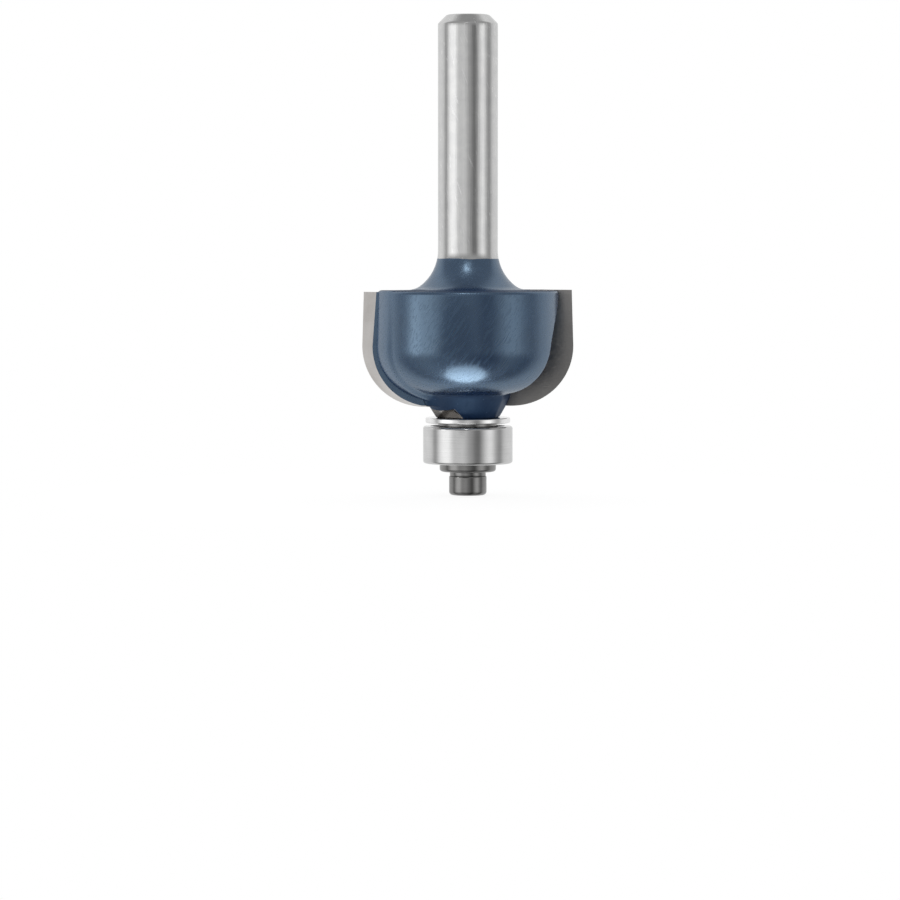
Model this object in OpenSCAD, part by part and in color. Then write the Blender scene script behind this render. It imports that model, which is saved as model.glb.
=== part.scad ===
// Two-flute cove router bit with a ball-bearing pilot.
// The axis of the tool is Z, with the shank up. The origin is on the axis, at
// the lower face of the cap screw's head. All sizes are in millimetres.

/* [Cutter] */
// Radius of the circle that the cutting edges sweep
cut_r = 11.2; // [11.1:0.01:11.3]
// Radius of the cove that the bit cuts
cove_r = 6.44; // [6.35:0.01:6.5]
// How far the straight edge leans in from its foot to its top
back_taper = 0.17; // [0:0.01:0.3]
// Hook angle of the cutting face
rake = 11; // [8:1:14]
// Angle from the X axis round to the outer cutting edges
edge_turn = 1; // [-4:1:6]
// Thickness of a carbide tip
tip_t = 1.6; // [1.2:0.1:2.2]
// Relief across the tip's thickness, at the top of the straight edge
relief_top = 1.69; // [1.2:0.01:1.8]
// Relief across the tip's thickness, at the start of the cove
relief_side = 1.43; // [1.0:0.01:1.6]
// Relief across the tip's thickness, at the bottom of the cove
relief_foot = 0.2; // [0.1:0.01:0.4]

/* [Body] */
// Radius of the head at its rim and down its side
bowl_r = 9.6; // [9.4:0.05:9.8]
// Radius of the round under the head's side
bowl_arc_r = 4.75; // [4.4:0.05:5.0]
// Radius of the hollow where the shank flares into the head
neck_r = 4.74; // [4.6:0.02:4.9]
// Radius of the boss at its foot
boss_r = 3.63; // [3.5:0.01:3.8]
// Radius of the boss where it meets the head
boss_top_r = 4.75; // [4.6:0.05:4.85]
// Radius of the wheel that grinds the gullets
gullet_r = 11.2; // [10.8:0.1:11.6]

/* [Shank] */
// Radius of the shank, a quarter inch across
shank_r = 3.175; // [3.16:0.005:3.19]
// Height of the whole bit
bit_h = 50.8; // [48:0.1:56]
// Bevel round the end of the shank
shank_bevel = 0.93; // [0.4:0.01:1.2]

/* [Pilot] */
// Outer radius of the ball bearing
race_or = 4.7625; // [4.7:0.0125:4.8]
// Radius of the bearing's bore, and of the stud that it sits on
stud_r = 1.5875; // [1.5:0.0125:1.6]
// Width of the ball bearing
race_w = 3.967; // [3.9:0.001:4.0]
// Number of balls
ball_n = 7; // [6:1:7]
// Radius of a ball
ball_r = 0.794; // [0.78:0.001:0.8]
// Radius of the chip shield
shield_r = 4.5; // [4.4:0.1:5]
// Thickness of the chip shield
shield_t = 0.55; // [0.4:0.05:0.7]
// Radius of the spacer over the bearing
spacer_r = 3.15; // [2.8:0.05:3.3]
// Thickness of the spacer over the bearing
spacer_t = 0.343; // [0.3:0.001:0.4]

/* [Fastening] */
// Radius of the clamp washer
clamp_r = 3.0; // [2.8:0.05:3.2]
// Thickness of the clamp washer
clamp_t = 0.89; // [0.8:0.01:1.1]
// Radius of the lock washer
lock_r = 1.92; // [1.9:0.01:2.2]
// Thickness of the lock washer
lock_t = 0.46; // [0.3:0.01:0.5]
// Radius of the cap screw's head
head_r = 2.0; // [1.9:0.01:2.1]
// Height of the cap screw's head
head_h = 2.04; // [1.9:0.01:2.1]
// Radius of the cap screw's shank
screw_r = 1.0; // [0.9:0.05:1.1]
// Length of the cap screw's shank
screw_l = 6; // [5:0.5:7]
// Width across the flats of the hex socket
socket_w = 1.5; // [1.3:0.1:1.5]

/* [Hidden] */
$fn = 96;
// Overshoot of a cut past the face that it leaves through
over = 1;

// Heights of the pieces on the stud, from the screw's head up
lock_z = head_h;
clamp_z = lock_z + lock_t;
race_z = clamp_z + clamp_t;
spacer_z = race_z + race_w;
shield_z = spacer_z + spacer_t;
boss_z = shield_z + shield_t;

// The cutting profile, about the tool's axis: the cove's foot, its centre and the rim
foot_rise = 1.18;
edge_l = 5.83;
cove_r0 = race_or;
tip_foot_z = boss_z + foot_rise;
cove_z = tip_foot_z + cove_r;
rim_z = cove_z + edge_l;
// The tips' tops against the rim: the right one stands over it, the left one under it
tip_top_z = [rim_z + 0.09, rim_z - 0.12];

// A flute's own frame has its origin on the axis and its X axis along the cutting face
face_turn = edge_turn - rake;
face_y = cut_r * sin(rake);

// The head's turned profile: its straight side, the cone under it and the flare over it
side_h = 6.1;
under_h = 0.75;
neck_h = 4.29;
bowl_z = rim_z - side_h;
bowl_r0 = bowl_r - bowl_arc_r;
bowl_foot_z = bowl_z - bowl_arc_r;
boss_top_z = bowl_foot_z - under_h;
neck_z = rim_z + neck_h;
rim_bevel = 0.15;

// The inner walls of a flute lean out from the boss to the rim: [along the face, height]
floor_foot = [2.6, boss_z - 1.2];
floor_knee = [4.17, boss_z + 2.05];
floor_top = [6.3, rim_z];
floor_slope = (floor_top[0] - floor_knee[0]) / (floor_top[1] - floor_knee[1]);
far = 14;
// A seat starts this little in front of the cutting face, so that gullet and seat are one cut
seat_lap = 0.001;

// The gullet wheel's axis: [behind the cutting face, height]
wheel_at = [6.1, boss_z + 3.95];

// The land is ground about an axis thrown off the tool's, which gives it its relief
land_throw = 1.02;
land_lag = 72;
land_turn = edge_turn - land_lag;
land_r = 9.777;
land_top_r = 9.45;
land_arc_r = 6.07;
land_r0 = land_r - land_arc_r;
// Plan of the land behind the cutting face: [along the face, behind it]
land_plan = [[2.8, 1.5], [7.7, 3.6], [12, 5.4], [12, 1.5]];

// The steel under a tip's inner end stands this far in front of the cutting face
root_front = 0.25;
root_reach = 5;

// A flat that the relief wheel leaves on the boss: how far from the axis at its foot, which
// way it faces, how far it leans out and how long its slope is
graze_d = 2.9;
graze_turn = 225;
graze_lean = 43;
graze_l = 1.4;

// Steps along the cove and along the straight edge of a tip
cove_steps = 22;
edge_steps = 5;

// The bearing's ring sections
pitch_r = 3.175;
groove_r = 0.834;
race_gap = 0.015;
inner_or = 2.6;
outer_ir = 3.75;
rebate_r = 3.98;
rebate_d = 0.42;
race_bevel = 0.2;
bore_bevel = 0.12;
race_mid_z = race_z + race_w / 2;

// The bearing's shields and the wires that snap in to hold them
cover_ir = 2.7;
cover_t = 0.16;
wire_r = 0.1;
wire_ring_r = 3.95;
wire_turn = 335;
// Heights of the wires' middles, and where each starts round the bearing: lower, upper
wire_z = [race_z + rebate_d - cover_t - wire_r, spacer_z - rebate_d + cover_t + wire_r];
wire_start = [40, 200];

// The retainer that spaces the balls
cage_ir = 2.85;
cage_or = 3.5;
cage_low = 0.95;
cage_high = 0.45;
cage_pocket_r = 0.83;

// Edge rounds and small depths of the fastening
head_round = 0.38;
clamp_round = 0.3;
lock_gap = 0.14;
lock_slant = 20;
lock_turn = 65;
washer_gap = 0.1;
socket_d = 1.0;
socket_cone = 0.3;
screw_bevel = 0.25;
tap_extra = 0.8;
stud_short = 0.12;

// A point of the cutting edge, a degrees round the cove from its side: [radius, height]
function cove_point(a) = [cove_r0 + cove_r * cos(a), cove_z - cove_r * sin(a)];

// The cutting profile from the top of the straight edge to the foot of the cove
function profile(top_z) = concat(
    [for (i = [0:edge_steps - 1])
        let (z = top_z + (cove_z - top_z) * i / edge_steps)
        [cut_r - back_taper * (z - cove_z) / (rim_z - cove_z), z]],
    [for (i = [0:cove_steps]) cove_point(90 * i / cove_steps)]);

// How far the cutting profile's outward normal points below level, at a height
function normal_angle(z) = z > cove_z ? 0 : asin(min(1, (cove_z - z) / cove_r));

// Relief at a height: largest at the top of the straight edge, least at the cove's foot
function relief(z) = z > cove_z
    ? relief_side + (relief_top - relief_side) * (z - cove_z) / (rim_z - cove_z)
    : relief_foot + (relief_side - relief_foot) * cos(normal_angle(z));

// A point of the cutting edge, laid in the plane of the cutting face: [along the face, height]
function on_face(p) = [sqrt(p[0] * p[0] - face_y * face_y), p[1]];

// The same point on the tip's back face, drawn in by the relief along the profile's normal
function on_back(p) = let (q = on_face(p), a = normal_angle(p[1]))
    [q[0] - relief(p[1]) * cos(a), q[1] + relief(p[1]) * sin(a)];

// How far along the face the flute's inner wall stands, at a height
function floor_at(z) = z > floor_knee[1]
    ? floor_knee[0] + (z - floor_knee[1]) * floor_slope
    : floor_foot[0] + (z - floor_foot[1])
        * (floor_knee[0] - floor_foot[0]) / (floor_knee[1] - floor_foot[1]);

// One flute's frame, turned to its place round the tool
module flute(half_turns) {
    rotate([0, 0, face_turn + 180 * half_turns]) children();
}

// Everything outside a flute's inner wall, as a slab from y0 to y1 behind the axis
module outside_floor(y0, y1) {
    translate([0, y1, 0])
        rotate([90, 0, 0])
            linear_extrude(y1 - y0)
                polygon([
                    floor_foot,
                    floor_knee,
                    [floor_at(rim_z + over), rim_z + over],
                    [far, rim_z + over],
                    [far, floor_foot[1]]
                ]);
}

// The gullet in front of a cutting face, cut by the round of a grinding wheel
module gullet() {
    intersection() {
        outside_floor(face_y - gullet_r, face_y);
        translate([0, face_y + wheel_at[0], wheel_at[1]])
            rotate([0, 90, 0])
                cylinder(r = gullet_r, h = far);
    }
}

// The seat that a carbide tip is brazed into
module tip_seat() {
    outside_floor(face_y - seat_lap, face_y + tip_t);
}

// The turned profile of the shank, neck, head, boss and stud
module turned_profile() {
    polygon([
        [0, rim_z],
        [shank_r, rim_z],
        [shank_r, bit_h - shank_bevel],
        [shank_r - shank_bevel, bit_h],
        [0, bit_h]
    ]);
    difference() {
        translate([0, rim_z]) square([shank_r + neck_r, neck_h]);
        translate([shank_r + neck_r, neck_z]) circle(r = neck_r);
    }
    polygon([
        [0, bowl_z],
        [bowl_r, bowl_z],
        [bowl_r, rim_z - rim_bevel],
        [bowl_r - rim_bevel, rim_z],
        [0, rim_z]
    ]);
    translate([0, bowl_foot_z]) square([bowl_r0, bowl_arc_r]);
    intersection() {
        translate([bowl_r0, bowl_z]) circle(r = bowl_arc_r);
        translate([bowl_r0, bowl_foot_z]) square(bowl_arc_r);
    }
    polygon([
        [0, boss_z],
        [boss_r, boss_z],
        [boss_top_r, boss_top_z],
        [bowl_r0, bowl_foot_z],
        [0, bowl_foot_z]
    ]);
    translate([0, race_z + stud_short]) square([stud_r, boss_z - race_z - stud_short]);
}

// The land that backs a tip, a turned form about its own thrown axis
module backing_land() {
    intersection() {
        rotate([0, 0, land_turn - face_turn])
            translate([land_throw, 0, 0])
                rotate_extrude() {
                    translate([0, cove_z - land_arc_r]) square([land_r0, land_arc_r]);
                    intersection() {
                        translate([land_r0, cove_z]) circle(r = land_arc_r);
                        translate([land_r0, cove_z - land_arc_r]) square(land_arc_r);
                    }
                    polygon([
                        [0, cove_z],
                        [land_r, cove_z],
                        [land_top_r, rim_z - rim_bevel],
                        [0, rim_z - rim_bevel]
                    ]);
                }
        translate([0, face_y, 0])
            linear_extrude(rim_z + over) polygon(land_plan);
    }
}

// The steel under a tip's inner end, which joins it to the boss
module tip_root() {
    rotate([90, 0, 90])
        linear_extrude(root_reach)
            polygon([
                [face_y - root_front, tip_foot_z],
                [face_y, tip_foot_z],
                [face_y + tip_t, tip_foot_z + relief_foot],
                [face_y + tip_t, bowl_z],
                [face_y - root_front, bowl_z]
            ]);
}

// The flat left on the boss beside a land
module graze() {
    rotate([0, 0, graze_turn])
        translate([graze_d, 0, boss_z])
            rotate([0, graze_lean, 0])
                translate([0, -boss_top_r, -over])
                    cube([2 * over, 2 * boss_top_r, over + graze_l]);
}

// The steel body: shank, head, boss and stud turned in one, with two flutes ground in
module cutter_body() {
    color([0.25, 0.35, 0.5])
        difference() {
            union() {
                rotate_extrude() turned_profile();
                for (k = [0, 1]) flute(k) backing_land();
                for (k = [0, 1]) flute(k) tip_root();
            }
            for (k = [0, 1]) {
                flute(k) gullet();
                flute(k) tip_seat();
                rotate([0, 0, 180 * k]) graze();
            }
            translate([0, 0, race_z - over])
                cylinder(r = screw_r, h = screw_l + tap_extra + over);
        }
}

// A brazed carbide tip: the cutting profile on its face, and the same drawn in on its back
module carbide_tip(top_z) {
    edge = profile(top_z);
    foot = tip_foot_z;
    back_foot = foot + relief_foot;
    face = concat(
        [for (p = edge) on_face(p)],
        [[floor_at(foot), foot], floor_knee, [floor_at(top_z), top_z]]);
    back = concat(
        [for (p = edge) on_back(p)],
        [[floor_at(back_foot), back_foot], floor_knee, [floor_at(top_z), top_z]]);
    n = len(face);
    knee = n - 2;
    // Each flat face is a fan of triangles about its knee, with the others taken in order
    fan = [for (i = [0:n - 1]) if (i != knee && (i + 1) % n != knee) [i, (i + 1) % n]];
    color([0.45, 0.44, 0.43])
        polyhedron(
            points = concat(
                [for (p = face) [p[0], face_y, p[1]]],
                [for (p = back) [p[0], face_y + tip_t, p[1]]]),
            faces = concat(
                [for (f = fan) [knee, f[1], f[0]]],
                [for (f = fan) [n + knee, n + f[0], n + f[1]]],
                [for (i = [0:n - 1]) [i, (i + 1) % n, n + i]],
                [for (i = [0:n - 1]) [(i + 1) % n, n + (i + 1) % n, n + i]]));
}

module right_carbide_tip() {
    flute(0) carbide_tip(tip_top_z[0]);
}

module left_carbide_tip() {
    flute(1) carbide_tip(tip_top_z[1]);
}

// A plain ring, with its lower face at a height
module ring(outer, inner, z, t) {
    translate([0, 0, z])
        difference() {
            cylinder(r = outer, h = t);
            translate([0, 0, -over]) cylinder(r = inner, h = t + 2 * over);
        }
}

module chip_shield() {
    color([0.82, 0.82, 0.82]) ring(shield_r, stud_r, shield_z, shield_t);
}

module spacer_ring() {
    color([0.32, 0.32, 0.33]) ring(spacer_r, stud_r, spacer_z, spacer_t);
}

// The inner ring, with the groove that the balls run in
module bearing_inner_ring() {
    color([0.75, 0.75, 0.76])
        rotate_extrude()
            difference() {
                polygon([
                    [stud_r, race_z + bore_bevel],
                    [stud_r + bore_bevel, race_z],
                    [inner_or, race_z],
                    [inner_or, spacer_z],
                    [stud_r + bore_bevel, spacer_z],
                    [stud_r, spacer_z - bore_bevel]
                ]);
                translate([pitch_r - ball_r - race_gap + groove_r, race_mid_z])
                    circle(r = groove_r);
            }
}

// The outer ring, stepped at both ends for a shield, with a groove for its snap wire
module bearing_outer_ring() {
    color([0.72, 0.72, 0.72])
        rotate_extrude()
            difference() {
                polygon([
                    [outer_ir, race_z + rebate_d],
                    [rebate_r, race_z + rebate_d],
                    [rebate_r, race_z],
                    [race_or - race_bevel, race_z],
                    [race_or, race_z + race_bevel],
                    [race_or, spacer_z - race_bevel],
                    [race_or - race_bevel, spacer_z],
                    [rebate_r, spacer_z],
                    [rebate_r, spacer_z - rebate_d],
                    [outer_ir, spacer_z - rebate_d]
                ]);
                translate([pitch_r + ball_r + race_gap - groove_r, race_mid_z])
                    circle(r = groove_r);
                for (z = wire_z) translate([wire_ring_r, z]) circle(r = wire_r);
            }
}

// A ball's place round the bearing
function ball_angle(i) = 360 * (i - 0.5) / ball_n;

module ball(i) {
    color([0.86, 0.86, 0.87])
        rotate([0, 0, ball_angle(i)]) translate([pitch_r, 0, race_mid_z]) sphere(r = ball_r);
}

// The crown retainer: a ring with a pocket for each ball, open at the top
module ball_retainer() {
    color([0.72, 0.6, 0.3])
        difference() {
            ring(cage_or, cage_ir, race_mid_z - cage_low, cage_low + cage_high);
            for (i = [1:ball_n])
                rotate([0, 0, ball_angle(i)])
                    translate([pitch_r, 0, race_mid_z]) sphere(r = cage_pocket_r);
        }
}

module lower_bearing_shield() {
    color([0.62, 0.62, 0.63]) ring(rebate_r, cover_ir, race_z + rebate_d - cover_t, cover_t);
}

module upper_bearing_shield() {
    color([0.62, 0.62, 0.63]) ring(rebate_r, cover_ir, spacer_z - rebate_d, cover_t);
}

// A spring wire bent to an open ring: 0 lower, 1 upper
module snap_wire(side) {
    color([0.5, 0.5, 0.52])
        rotate([0, 0, wire_start[side]])
            translate([0, 0, wire_z[side]])
                rotate_extrude(angle = wire_turn) translate([wire_ring_r, 0]) circle(r = wire_r);
}

module lower_snap_wire() {
    snap_wire(0);
}

module upper_snap_wire() {
    snap_wire(1);
}

// The washer that holds the bearing's inner ring up, rounded round its lower edge
module clamp_washer() {
    color([0.3, 0.3, 0.3])
        rotate_extrude()
            translate([0, clamp_z])
                union() {
                    translate([screw_r + washer_gap, clamp_round])
                        square([clamp_r - screw_r - washer_gap, clamp_t - clamp_round]);
                    translate([screw_r + washer_gap, 0])
                        square([clamp_r - clamp_round - screw_r - washer_gap, clamp_round]);
                    intersection() {
                        translate([clamp_r - clamp_round, clamp_round]) circle(r = clamp_round);
                        translate([clamp_r - clamp_round, 0]) square(clamp_round);
                    }
                }
}

// A split spring washer, pressed flat, with a slanted cut
module lock_washer() {
    color([0.36, 0.36, 0.36])
        difference() {
            ring(lock_r, screw_r + washer_gap / 2, lock_z, lock_t);
            rotate([0, 0, lock_turn])
                translate([0, -lock_gap / 2, lock_z + lock_t / 2])
                    rotate([lock_slant, 0, 0])
                        translate([0, 0, -lock_t])
                            cube([lock_r + over, lock_gap, 2 * lock_t]);
        }
}

// The socket-head cap screw, head down
module cap_screw() {
    color([0.33, 0.33, 0.33])
        difference() {
            union() {
                rotate_extrude() {
                    translate([0, head_round]) square([head_r, head_h - head_round]);
                    square([head_r - head_round, head_round]);
                    intersection() {
                        translate([head_r - head_round, head_round]) circle(r = head_round);
                        translate([head_r - head_round, 0]) square(head_round);
                    }
                }
                translate([0, 0, head_h]) cylinder(r = screw_r, h = screw_l - screw_bevel);
                translate([0, 0, head_h + screw_l - screw_bevel])
                    cylinder(r1 = screw_r, r2 = screw_r - screw_bevel, h = screw_bevel);
            }
            translate([0, 0, -over])
                cylinder(r = socket_w / 2 / cos(30), h = socket_d + over, $fn = 6);
            translate([0, 0, socket_d])
                cylinder(r1 = socket_w / 2, r2 = 0, h = socket_cone);
        }
}

cutter_body();
right_carbide_tip();
left_carbide_tip();
chip_shield();
spacer_ring();
bearing_inner_ring();
bearing_outer_ring();
ball_retainer();
for (i = [1:ball_n]) ball(i);
upper_bearing_shield();
lower_bearing_shield();
upper_snap_wire();
lower_snap_wire();
clamp_washer();
lock_washer();
cap_screw();
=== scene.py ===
import bpy
import numpy as np
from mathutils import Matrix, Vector


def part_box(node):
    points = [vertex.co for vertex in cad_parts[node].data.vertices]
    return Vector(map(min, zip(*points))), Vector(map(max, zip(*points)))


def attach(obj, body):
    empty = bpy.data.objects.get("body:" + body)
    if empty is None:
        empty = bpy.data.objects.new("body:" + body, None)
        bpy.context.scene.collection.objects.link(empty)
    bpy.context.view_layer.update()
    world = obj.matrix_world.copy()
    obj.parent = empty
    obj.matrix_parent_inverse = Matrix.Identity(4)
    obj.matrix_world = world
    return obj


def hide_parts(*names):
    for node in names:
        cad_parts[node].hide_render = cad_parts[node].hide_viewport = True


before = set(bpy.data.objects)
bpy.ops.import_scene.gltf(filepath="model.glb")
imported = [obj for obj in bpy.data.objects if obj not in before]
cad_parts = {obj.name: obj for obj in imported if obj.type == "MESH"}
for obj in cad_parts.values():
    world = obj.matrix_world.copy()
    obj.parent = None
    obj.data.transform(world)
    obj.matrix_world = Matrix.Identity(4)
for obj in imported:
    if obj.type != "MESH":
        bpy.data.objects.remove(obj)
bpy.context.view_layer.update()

# The view, in millimetres and radians. The bit stands upright and is seen from straight in front and
# from half its height, through a long lens. The camera is tipped down and turned a little to the
# left, so that the bit stands high in the picture and just right of its middle.
MM = 0.001
view_distance = 371.5
view_height = 26.2
view_down = 0.0576
view_left = 0.0051

camera_data = bpy.data.cameras.new("camera")
camera_data.lens = 140
camera_data.sensor_width = 36
camera_data.clip_start = 0.01
camera_data.clip_end = 10
camera = bpy.data.objects.new("camera", camera_data)
camera.location = (0, -view_distance * MM, view_height * MM)
camera.rotation_euler = (np.pi / 2 - view_down, 0, view_left)
bpy.context.scene.collection.objects.link(camera)
bpy.context.scene.camera = camera

# The cutter body. The real one is a single piece of steel: shank, flared neck, bowl-shaped head,
# boss and stud are turned, then two gullets, two tip seats and two backing lands are ground.
# Everything under the shank is dipped in blue enamel, which rounds its edges.
cut_r = 11.2
cove_r = 6.44
rake = np.radians(11)
edge_turn = np.radians(1)
tip_t = 1.6
shank_r = 3.175
shank_bevel = 0.93
shank_round = 0.12
bowl_r = 9.6
bowl_arc_r = 4.75
rim_round = 0.4
neck_r = 4.74
boss_r = 3.63
boss_slope = 0.605
boss_reach = 4
boss_round = 0.1
joint_lap = 1
joint_round = 0.5
gullet_r = 11.2
stud_r = 1.5875
screw_r = 1.0


def span_of(node):
    """The lowest and the highest z of one of the frame's solids, in millimetres."""
    low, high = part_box(node)
    return low.z / MM, high.z / MM


stud_z, bit_h = span_of("cutter_body")
boss_z = span_of("chip_shield")[1]
tip_foot_z = span_of("right_carbide_tip")[0]
cove_z = tip_foot_z + cove_r
rim_z = cove_z + 5.83
bowl_z = rim_z - 6.1
bowl_r0 = bowl_r - bowl_arc_r
neck_z = rim_z + 4.29
face_turn = edge_turn - rake
face_y = cut_r * np.sin(rake)
# The flute's floor, as foot, knee and top: how far out it lies in the tip's frame, and the height
floor_line = np.array([[2.6, boss_z - 1.2], [4.17, boss_z + 2.05], [6.3, rim_z]])
floor_splay = 0.187
floor_square = 0.97
flute_round = 0.25
flute_edge = 0.15
wheel_y = face_y + 6.1
wheel_z = boss_z + 3.95
land_throw = 1.02
land_lag = np.radians(72) - rake
land_r = 9.777
land_top_r = 9.45
land_arc_r = 6.07
land_r0 = land_r - land_arc_r
land_top_z = rim_z - 0.15
land_start = 1.5
land_round = 0.3
land_fillet = 0.6
wedge_x = 2.8
wedge_y = 1.9
wedge_slope = 0.55
wedge_round = 0.8
seat_lap = 0.03
roof_t = 0.35
root_front = 0.25
root_reach = 5
root_fillet = 0.15
graze_turn = np.radians(225)
graze_lean = np.radians(43)
graze_d = 2.9
graze_l = 1.4
graze_edge = 0.1
relief_foot = 0.2
tap_z = 10.19


def soft_max(a, b, width):
    """The larger of two fields, with the corner between them rounded: how near they are, from 0 at
    a width apart to 1 where they meet, is squared, and a quarter of the width times it is added."""
    near = np.maximum(width - np.abs(a - b), 0) / width
    return np.maximum(a, b) + near * near * width / 4


def soft_min(a, b, width):
    """The smaller of two fields, with the corner between them filled over a width."""
    return -soft_max(-a, -b, width)


def turned(angle, x, y):
    """A point's x and y in a frame turned by an angle about the tool's axis."""
    return x * np.cos(angle) + y * np.sin(angle), y * np.cos(angle) - x * np.sin(angle)


def turned_steel(x, y, z):
    """Depth outside the turned form, from the distance to the axis and the height: the union of the
    shank and its bevel, the flare (a hollow round), the bowl (a round carried about the axis), the
    boss (a cone) and the stud. Each runs on into the next."""
    r = np.hypot(x, y)
    shank = np.maximum(r - shank_r, boss_z + joint_lap - z)
    bevel = (r + z - shank_r - bit_h + shank_bevel) / np.sqrt(2)
    shank = soft_max(soft_max(shank, bevel, shank_round), z - bit_h, shank_round)
    flare = neck_r - np.hypot(r - shank_r - neck_r, z - neck_z)
    flare = np.maximum(np.maximum(flare, z - neck_z), r - shank_r - neck_r)
    flare = np.maximum(flare, rim_z - joint_lap - z)
    bowl = np.hypot(np.maximum(r - bowl_r0, 0), np.maximum(bowl_z - z, 0)) - bowl_arc_r
    bowl = soft_max(bowl, z - rim_z, rim_round)
    boss = (r - boss_r - boss_slope * (z - boss_z)) / np.hypot(1, boss_slope)
    boss = np.maximum(soft_max(boss, boss_z - z, boss_round), z - boss_z - boss_reach)
    stud = np.maximum(np.maximum(r - stud_r, stud_z - z), z - boss_z - joint_lap)
    head = soft_min(soft_min(bowl, flare, joint_round), boss, joint_round)
    return np.minimum(np.minimum(head, shank), stud)


def backing_land(x, y, z):
    """Depth outside the land behind a tip, a turned form about an axis thrown off the tool's: a
    round below the cove's top, a cone above it, and a slanted plane that ends it at the back."""
    r = np.hypot(x - land_throw * np.cos(land_lag), y + land_throw * np.sin(land_lag))
    below = np.hypot(np.maximum(r - land_r0, 0), np.maximum(cove_z - z, 0)) - land_arc_r
    above = r - land_r - (land_top_r - land_r) * (z - cove_z) / (land_top_z - cove_z)
    land = soft_max(np.where(z < cove_z, below, above), z - land_top_z, land_round)
    wedge = (y - face_y - wedge_y - wedge_slope * (x - wedge_x)) / np.hypot(1, wedge_slope)
    return np.maximum(soft_max(land, wedge, wedge_round), face_y + land_start - y)


def tip_root(x, y, z):
    """Depth outside the steel left under a tip's inner end, from its foot up to the bowl."""
    behind = np.clip((y - face_y) / tip_t, 0, 1)
    across = np.maximum(np.maximum(-x, x - root_reach), face_y - root_front - y)
    return np.maximum(np.maximum(across, y - face_y - tip_t),
                      np.maximum(tip_foot_z + relief_foot * behind - z, z - bowl_z))


def flute_cut(x, y, z):
    """Depth outside what a flute takes away: past its floor, the tip's seat and, in front of the
    cutting face, the wheel's round, which leaves a thin roof under the head's top."""
    at = np.interp(z, floor_line[:, 1], floor_line[:, 0])
    at = np.where(z > rim_z, floor_line[2, 0] + floor_splay * (z - rim_z), at)
    wheel = np.maximum(np.hypot(y - wheel_y, z - wheel_z) - gullet_r, z - rim_z + roof_t)
    front = np.minimum(face_y + seat_lap - y, wheel)
    return soft_max(np.maximum(floor_square * (at - x), y - face_y - tip_t), front, flute_round)


def body_depth(x, y, z):
    """Depth outside the whole body, in millimetres: negative in the steel, zero at the surface."""
    depth = turned_steel(x, y, z)
    for half in (0, np.pi):
        u, v = turned(face_turn + half, x, y)
        depth = soft_min(depth, backing_land(u, v, z), land_fillet)
        depth = soft_min(depth, tip_root(u, v, z), root_fillet)
    for half in (0, np.pi):
        u, v = turned(face_turn + half, x, y)
        depth = soft_max(depth, -flute_cut(u, v, z), flute_edge)
        u, v = turned(graze_turn + half, x, y)
        out = (u - graze_d) * np.cos(graze_lean) - (z - boss_z) * np.sin(graze_lean)
        up = (z - boss_z) * np.cos(graze_lean) + (u - graze_d) * np.sin(graze_lean)
        depth = soft_max(depth, -np.maximum(-out, up - graze_l), graze_edge)
    hole = np.maximum(np.hypot(x, y) - screw_r, z - tap_z)
    return np.maximum(depth, -hole)


def skin_of(field, xs, ys, zs, slabs=24):
    """Where a field is zero, as a mesh: one point in each grid cell that the surface crosses, at
    the middle of its crossings, and one quad round each grid edge that the surface cuts."""
    grid = np.concatenate([
        field(xs[:, None, None], ys[None, :, None], zs[None, None, part])
        for part in np.array_split(np.arange(len(zs)), slabs)], axis=2)
    inside = grid < 0
    shape = np.array(grid.shape) - 1
    total = np.zeros((*shape, 3))
    crossings = np.zeros(shape)
    axes = (xs, ys, zs)
    for axis in range(3):
        low = [slice(None)] * 3
        high = [slice(None)] * 3
        low[axis] = slice(0, -1)
        high[axis] = slice(1, None)
        a, b = grid[tuple(low)], grid[tuple(high)]
        cut = (a < 0) != (b < 0)
        share = np.where(cut, a / np.where(cut, a - b, 1), 0)
        place = np.zeros((*cut.shape, 3))
        for other in range(3):
            line = axes[other][: cut.shape[other]]
            view = [None] * 3
            view[other] = slice(None)
            place[..., other] = line[tuple(view)]
        step = np.diff(axes[axis])
        view = [None] * 3
        view[axis] = slice(None)
        place[..., axis] += share * step[tuple(view)]
        others = [k for k in range(3) if k != axis]
        for i in (0, 1):
            for j in (0, 1):
                part = [slice(None)] * 3
                part[others[0]] = slice(i, i + shape[others[0]])
                part[others[1]] = slice(j, j + shape[others[1]])
                crossings += cut[tuple(part)]
                total += place[tuple(part)] * cut[tuple(part)][..., None]
    used = crossings > 0
    index = np.full(tuple(shape), -1)
    index[used] = np.arange(used.sum())
    points = total[used] / crossings[used][:, None]
    quads = []
    for axis in range(3):
        others = [k for k in range(3) if k != axis]
        low = [slice(1, -1)] * 3
        high = [slice(1, -1)] * 3
        low[axis] = slice(0, -1)
        high[axis] = slice(1, None)
        a, b = inside[tuple(low)], inside[tuple(high)]
        at = np.argwhere(a != b)
        corner = [at.copy() for _ in range(4)]
        for k in others:
            for c in corner:
                c[:, k] += 1
        corner[1][:, others[0]] -= 1
        corner[2][:, others[0]] -= 1
        corner[2][:, others[1]] -= 1
        corner[3][:, others[1]] -= 1
        ring = np.stack([index[tuple(c.T)] for c in corner], axis=1)
        flip = a[tuple(at.T)] != (axis == 1)
        ring[~flip] = ring[~flip][:, ::-1]
        quads.append(ring)
    return points, np.concatenate(quads)


def slope_of(field, points, step=0.004):
    """The field's slope at each point, by differences over a small step along each axis."""
    rows = []
    for axis in range(3):
        shift = np.zeros(3)
        shift[axis] = step
        ahead, behind = points + shift, points - shift
        rows.append((field(*ahead.T) - field(*behind.T)) / (2 * step))
    return np.stack(rows, axis=1)


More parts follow.
